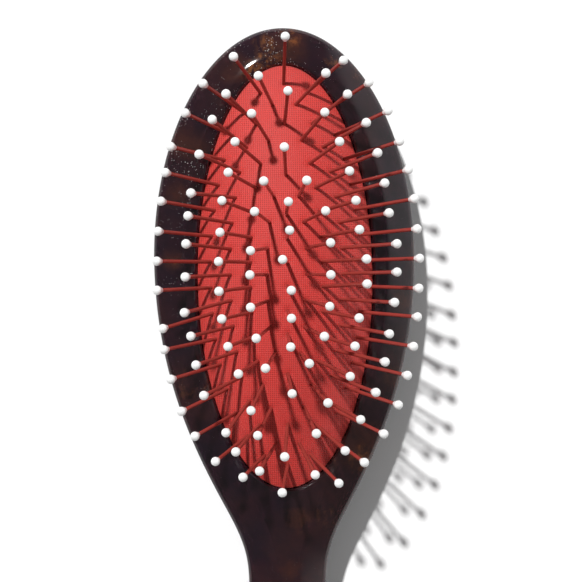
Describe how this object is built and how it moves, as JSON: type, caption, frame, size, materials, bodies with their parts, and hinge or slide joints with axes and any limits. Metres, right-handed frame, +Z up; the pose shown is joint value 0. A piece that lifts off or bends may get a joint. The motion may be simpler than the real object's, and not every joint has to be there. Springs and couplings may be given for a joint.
{
  "type": "bristle brush",
  "caption": "Oval cushion hair brush: one-piece tortoiseshell head and handle, domed red woven cushion, and rings of ball-tipped pins that sink with the cushion.",
  "frame": {"origin": "on the flat back of the head, under the middle of the cushion", "axes": "+Z up along the pins, +Y towards the head's tip, -Y towards the handle's end, +X to the right seen from the pin side with the head's tip up"},
  "size_m": [0.0666, 0.225, 0.0488],
  "materials": {
    "acetate": "polished tortoiseshell",
    "ring_plastic": "moulded",
    "cushion_rubber": "moulded rubber",
    "cushion_weave": "fine plain weave",
    "pin_nylon": "satin",
    "tip_nylon": "gloss"
  },
  "bodies": {
    "frame": {"handle_body": "acetate", "clamp_ring": "ring_plastic", "rubber_cushion": "cushion_rubber", "cushion_cloth": "cushion_weave"},
    "centre_pins": {"centre_row_pins": "pin_nylon", "centre_row_tips": "tip_nylon"},
    "ring_4_pins": {"ring_4_right_pins": "pin_nylon", "ring_4_right_tips": "tip_nylon", "ring_4_left_pins": "pin_nylon", "ring_4_left_tips": "tip_nylon"},
    "ring_3_pins": {"ring_3_right_pins": "pin_nylon", "ring_3_right_tips": "tip_nylon", "ring_3_left_pins": "pin_nylon", "ring_3_left_tips": "tip_nylon"},
    "ring_2_pins": {"ring_2_right_pins": "pin_nylon", "ring_2_right_tips": "tip_nylon", "ring_2_left_pins": "pin_nylon", "ring_2_left_tips": "tip_nylon"},
    "ring_1_pins": {"ring_1_right_pins": "pin_nylon", "ring_1_right_tips": "tip_nylon", "ring_1_left_pins": "pin_nylon", "ring_1_left_tips": "tip_nylon"}
  },
  "joints": [
    {"name": "centre_press", "type": "slide", "parent": "frame", "child": "centre_pins", "axis": [0, 0, 1], "range_m": [-0.004, 0], "stiffness_N_per_m": 300, "deforming": ["rubber_cushion", "cushion_cloth"]},
    {"name": "ring_4_press", "type": "slide", "parent": "frame", "child": "ring_4_pins", "axis": [0, 0, 1], "range_m": [-0.00388, 0], "stiffness_N_per_m": 800},
    {"name": "ring_3_press", "type": "slide", "parent": "frame", "child": "ring_3_pins", "axis": [0, 0, 1], "range_m": [-0.00312, 0], "stiffness_N_per_m": 1200},
    {"name": "ring_2_press", "type": "slide", "parent": "frame", "child": "ring_2_pins", "axis": [0, 0, 1], "range_m": [-0.00224, 0], "stiffness_N_per_m": 1400},
    {"name": "ring_1_press", "type": "slide", "parent": "frame", "child": "ring_1_pins", "axis": [0, 0, 1], "range_m": [-0.00116, 0], "stiffness_N_per_m": 1500}
  ],
  "couplings": [
    {"joint": "ring_4_press", "follows": "centre_press", "ratio": 0.92},
    {"joint": "ring_3_press", "follows": "centre_press", "ratio": 0.73},
    {"joint": "ring_2_press", "follows": "centre_press", "ratio": 0.51},
    {"joint": "ring_1_press", "follows": "centre_press", "ratio": 0.24}
  ]
}
